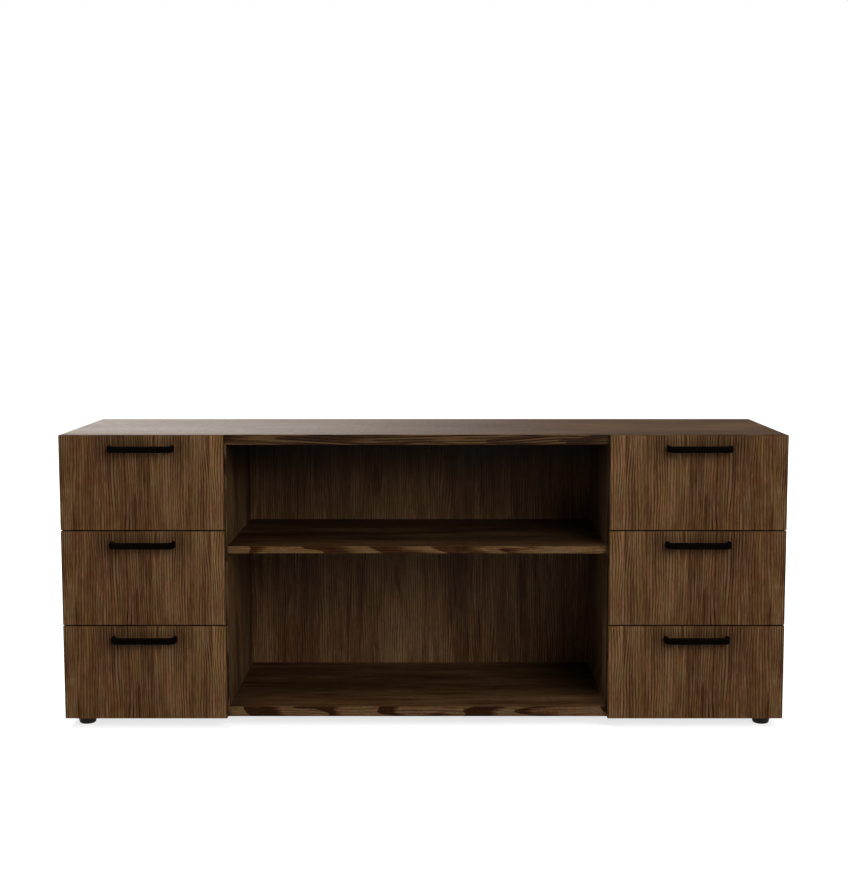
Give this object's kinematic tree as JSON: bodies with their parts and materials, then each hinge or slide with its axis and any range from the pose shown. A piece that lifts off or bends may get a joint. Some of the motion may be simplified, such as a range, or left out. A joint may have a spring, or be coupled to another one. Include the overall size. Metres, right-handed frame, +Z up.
{
  "type": "office credenza",
  "caption": "Low office credenza: banks of drawers on ball-bearing runners flank an open shelved bay, in dark walnut finish with black D pulls and short round feet.",
  "frame": {"origin": "on the floor, under the middle of the overall box", "axes": "+X to the right seen from the front, +Y from front to back, +Z up"},
  "size_m": [1.829, 0.51, 0.7535],
  "materials": {
    "walnut": "satin wood-grain laminate",
    "box_board": "satin birch-faced board",
    "rail": "zinc plated",
    "pull": "matte black powder coat",
    "foot": "matte dark brown"
  },
  "bodies": {
    "carcass": {"top_panel": "walnut", "bottom_panel": "walnut", "left_end_panel": "walnut", "right_end_panel": "walnut", "left_divider": "walnut", "right_divider": "walnut", "centre_shelf": "walnut", "back_panel": "walnut", "front_left_foot": "foot", "front_right_foot": "foot", "rear_left_foot": "foot", "rear_right_foot": "foot", "left_bottom_left_cabinet_rail": "rail", "left_bottom_right_cabinet_rail": "rail", "left_middle_left_cabinet_rail": "rail", "left_middle_right_cabinet_rail": "rail", "left_top_left_cabinet_rail": "rail", "left_top_right_cabinet_rail": "rail", "right_bottom_left_cabinet_rail": "rail", "right_bottom_right_cabinet_rail": "rail", "right_middle_left_cabinet_rail": "rail", "right_middle_right_cabinet_rail": "rail", "right_top_left_cabinet_rail": "rail", "right_top_right_cabinet_rail": "rail"},
    "left_bottom_drawer": {"left_bottom_front": "walnut", "left_bottom_box": "box_board", "left_bottom_box_bottom": "box_board", "left_bottom_pull": "pull", "left_bottom_left_drawer_rail": "rail", "left_bottom_right_drawer_rail": "rail"},
    "left_middle_drawer": {"left_middle_front": "walnut", "left_middle_box": "box_board", "left_middle_box_bottom": "box_board", "left_middle_pull": "pull", "left_middle_left_drawer_rail": "rail", "left_middle_right_drawer_rail": "rail"},
    "left_top_drawer": {"left_top_front": "walnut", "left_top_box": "box_board", "left_top_box_bottom": "box_board", "left_top_pull": "pull", "left_top_left_drawer_rail": "rail", "left_top_right_drawer_rail": "rail"},
    "right_bottom_drawer": {"right_bottom_front": "walnut", "right_bottom_box": "box_board", "right_bottom_box_bottom": "box_board", "right_bottom_pull": "pull", "right_bottom_left_drawer_rail": "rail", "right_bottom_right_drawer_rail": "rail"},
    "right_middle_drawer": {"right_middle_front": "walnut", "right_middle_box": "box_board", "right_middle_box_bottom": "box_board", "right_middle_pull": "pull", "right_middle_left_drawer_rail": "rail", "right_middle_right_drawer_rail": "rail"},
    "right_top_drawer": {"right_top_front": "walnut", "right_top_box": "box_board", "right_top_box_bottom": "box_board", "right_top_pull": "pull", "right_top_left_drawer_rail": "rail", "right_top_right_drawer_rail": "rail"}
  },
  "joints": [
    {"name": "left_bottom_slide", "type": "slide", "parent": "carcass", "child": "left_bottom_drawer", "axis": [0, -1, 0], "range_m": [0, 0.3]},
    {"name": "left_middle_slide", "type": "slide", "parent": "carcass", "child": "left_middle_drawer", "axis": [0, -1, 0], "range_m": [0, 0.3]},
    {"name": "left_top_slide", "type": "slide", "parent": "carcass", "child": "left_top_drawer", "axis": [0, -1, 0], "range_m": [0, 0.3]},
    {"name": "right_bottom_slide", "type": "slide", "parent": "carcass", "child": "right_bottom_drawer", "axis": [0, -1, 0], "range_m": [0, 0.3]},
    {"name": "right_middle_slide", "type": "slide", "parent": "carcass", "child": "right_middle_drawer", "axis": [0, -1, 0], "range_m": [0, 0.3]},
    {"name": "right_top_slide", "type": "slide", "parent": "carcass", "child": "right_top_drawer", "axis": [0, -1, 0], "range_m": [0, 0.3]}
  ]
}
